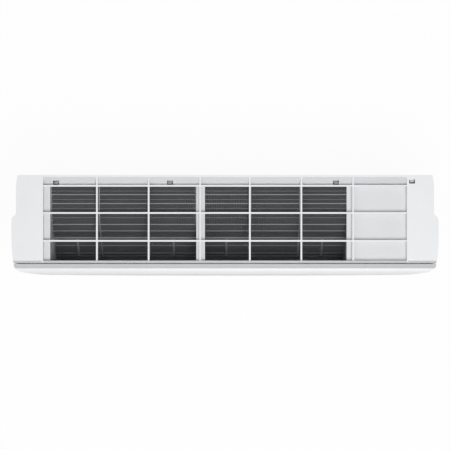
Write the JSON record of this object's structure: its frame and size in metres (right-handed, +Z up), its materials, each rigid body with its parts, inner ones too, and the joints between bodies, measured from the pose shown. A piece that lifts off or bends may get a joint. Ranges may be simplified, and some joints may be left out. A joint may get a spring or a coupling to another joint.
{
  "type": "wall-mounted air conditioner indoor unit",
  "caption": "Wall-mounted split air conditioner indoor unit with lattice air intake, filters, evaporator, crossflow fan, louver, swing vanes and hinged front panel.",
  "frame": {"origin": "centre of the four wall bolts, on the back face of the mounting plate where it meets the wall", "axes": "+X along the unit to its right end as seen from the room, +Y into the wall, +Z up"},
  "size_m": [0.85, 0.2015, 0.29],
  "materials": {
    "case_white": "fine satin moulded plastic",
    "panel_white": "smooth semi-gloss moulded plastic",
    "lattice_white": "fine satin moulded plastic",
    "rail_white": "matte moulded plastic",
    "chassis_grey": "matte moulded plastic",
    "filter_grey": "matte dark moulded plastic",
    "filter_net": "fine woven plastic net",
    "fin_aluminium": "bare rolled fins",
    "sheet_zinc": "galvanised sheet",
    "tube_copper": "drawn copper tube",
    "union_brass": "machined brass",
    "fan_black": "matte glass-filled plastic",
    "shaft_steel": "ground steel",
    "motor_black": "moulded resin motor body",
    "stepper_steel": "drawn steel can",
    "bearing_rubber": "moulded rubber",
    "board_green": "lacquered circuit board",
    "terminal_black": "black thermoset",
    "pan_grey": "moulded plastic with foam lining",
    "louver_white": "fine satin moulded plastic",
    "vane_grey": "matte moulded plastic",
    "lens_smoke": "polished smoked lens",
    "button_white": "smooth moulded plastic",
    "screw_zinc": "zinc plated"
  },
  "bodies": {
    "root": {"mounting_plate": "sheet_zinc", "rear_chassis": "chassis_grey", "air_duct": "chassis_grey", "front_case": "case_white", "top_grille": "lattice_white", "filter_rail_left": "rail_white", "filter_rail_middle": "rail_white", "filter_rail_right": "rail_white", "filter_frame_left": "filter_grey", "filter_frame_right": "filter_grey", "filter_mesh_left": "filter_net", "filter_mesh_right": "filter_net", "evaporator_rear": "fin_aluminium", "evaporator_upper": "fin_aluminium", "evaporator_lower": "fin_aluminium", "coil_end_plate_left": "sheet_zinc", "coil_end_plate_right": "sheet_zinc", "return_bends": "tube_copper", "liquid_pipe": "tube_copper", "gas_pipe": "tube_copper", "liquid_union": "union_brass", "gas_union": "union_brass", "pipe_clamp": "chassis_grey", "drain_pan": "pan_grey", "bearing_housing": "chassis_grey", "fan_bearing": "bearing_rubber", "fan_motor": "motor_black", "motor_strap": "chassis_grey", "louver_motor": "stepper_steel", "swing_motor_left": "stepper_steel", "swing_motor_right": "stepper_steel", "electrical_box": "chassis_grey", "electrical_cover": "sheet_zinc", "control_board": "board_green", "terminal_block": "terminal_black", "cable_clamp": "terminal_black", "display_board": "board_green", "case_screws": "screw_zinc"},
    "panel": {"front_panel": "panel_white", "receiver_window": "lens_smoke"},
    "fan": {"fan_wheel": "fan_black", "fan_shaft": "shaft_steel"},
    "air_louver": {"louver": "louver_white"},
    "button": {"manual_button": "button_white"},
    "vane_left_1_body": {"vane_left_1": "vane_grey"},
    "vane_left_2_body": {"vane_left_2": "vane_grey"},
    "vane_left_3_body": {"vane_left_3": "vane_grey"},
    "vane_left_4_body": {"vane_left_4": "vane_grey"},
    "vane_left_5_body": {"vane_left_5": "vane_grey"},
    "link_left": {"link_bar_left": "vane_grey"},
    "vane_right_1_body": {"vane_right_1": "vane_grey"},
    "vane_right_2_body": {"vane_right_2": "vane_grey"},
    "vane_right_3_body": {"vane_right_3": "vane_grey"},
    "vane_right_4_body": {"vane_right_4": "vane_grey"},
    "vane_right_5_body": {"vane_right_5": "vane_grey"},
    "link_right": {"link_bar_right": "vane_grey"}
  },
  "joints": [
    {"name": "panel_hinge", "type": "hinge", "parent": "root", "child": "panel", "pos_m": [0, -0.1845, 0.135], "axis": [-1, 0, 0], "range_deg": [0, 60]},
    {"name": "fan_spin", "type": "hinge", "parent": "root", "child": "fan", "pos_m": [-0.05, -0.085, -0.01], "axis": [1, 0, 0], "continuous": true},
    {"name": "louver_tilt", "type": "hinge", "parent": "root", "child": "air_louver", "pos_m": [-0.051, -0.14199, -0.11975], "axis": [1, 0, 0], "range_deg": [0, 80]},
    {"name": "button_press", "type": "slide", "parent": "root", "child": "button", "axis": [0, 1, 0], "range_m": [0, 0.0015], "stiffness_N_per_m": 400},
    {"name": "vane_left_1_swing", "type": "hinge", "parent": "root", "child": "vane_left_1_body", "pos_m": [-0.3129, -0.09028, -0.10983], "axis": [0, -0.6604, 0.7509], "range_deg": [-30, 30]},
    {"name": "vane_left_2_swing", "type": "hinge", "parent": "root", "child": "vane_left_2_body", "pos_m": [-0.2559, -0.09028, -0.10983], "axis": [0, -0.6604, 0.7509], "range_deg": [-30, 30]},
    {"name": "vane_left_3_swing", "type": "hinge", "parent": "root", "child": "vane_left_3_body", "pos_m": [-0.1989, -0.09028, -0.10983], "axis": [0, -0.6604, 0.7509], "range_deg": [-30, 30]},
    {"name": "vane_left_4_swing", "type": "hinge", "parent": "root", "child": "vane_left_4_body", "pos_m": [-0.1419, -0.09028, -0.10983], "axis": [0, -0.6604, 0.7509], "range_deg": [-30, 30]},
    {"name": "vane_left_5_swing", "type": "hinge", "parent": "root", "child": "vane_left_5_body", "pos_m": [-0.0849, -0.09028, -0.10983], "axis": [0, -0.6604, 0.7509], "range_deg": [-30, 30]},
    {"name": "link_left_pivot", "type": "hinge", "parent": "vane_left_1_body", "child": "link_left", "pos_m": [-0.3129, -0.11174, -0.10207], "axis": [0, -0.6604, 0.7509], "range_deg": [-30, 30]},
    {"name": "vane_right_1_swing", "type": "hinge", "parent": "root", "child": "vane_right_1_body", "pos_m": [-0.0171, -0.09028, -0.10983], "axis": [0, -0.6604, 0.7509], "range_deg": [-30, 30]},
    {"name": "vane_right_2_swing", "type": "hinge", "parent": "root", "child": "vane_right_2_body", "pos_m": [0.0399, -0.09028, -0.10983], "axis": [0, -0.6604, 0.7509], "range_deg": [-30, 30]},
    {"name": "vane_right_3_swing", "type": "hinge", "parent": "root", "child": "vane_right_3_body", "pos_m": [0.0969, -0.09028, -0.10983], "axis": [0, -0.6604, 0.7509], "range_deg": [-30, 30]},
    {"name": "vane_right_4_swing", "type": "hinge", "parent": "root", "child": "vane_right_4_body", "pos_m": [0.1539, -0.09028, -0.10983], "axis": [0, -0.6604, 0.7509], "range_deg": [-30, 30]},
    {"name": "vane_right_5_swing", "type": "hinge", "parent": "root", "child": "vane_right_5_body", "pos_m": [0.2109, -0.09028, -0.10983], "axis": [0, -0.6604, 0.7509], "range_deg": [-30, 30]},
    {"name": "link_right_pivot", "type": "hinge", "parent": "vane_right_1_body", "child": "link_right", "pos_m": [-0.0171, -0.11174, -0.10207], "axis": [0, -0.6604, 0.7509], "range_deg": [-30, 30]}
  ],
  "couplings": [
    {"joint": "vane_left_2_swing", "follows": "vane_left_1_swing", "ratio": 1},
    {"joint": "vane_left_3_swing", "follows": "vane_left_1_swing", "ratio": 1},
    {"joint": "vane_left_4_swing", "follows": "vane_left_1_swing", "ratio": 1},
    {"joint": "vane_left_5_swing", "follows": "vane_left_1_swing", "ratio": 1},
    {"joint": "link_left_pivot", "follows": "vane_left_1_swing", "ratio": -1},
    {"joint": "vane_right_2_swing", "follows": "vane_right_1_swing", "ratio": 1},
    {"joint": "vane_right_3_swing", "follows": "vane_right_1_swing", "ratio": 1},
    {"joint": "vane_right_4_swing", "follows": "vane_right_1_swing", "ratio": 1},
    {"joint": "vane_right_5_swing", "follows": "vane_right_1_swing", "ratio": 1},
    {"joint": "link_right_pivot", "follows": "vane_right_1_swing", "ratio": -1}
  ]
}
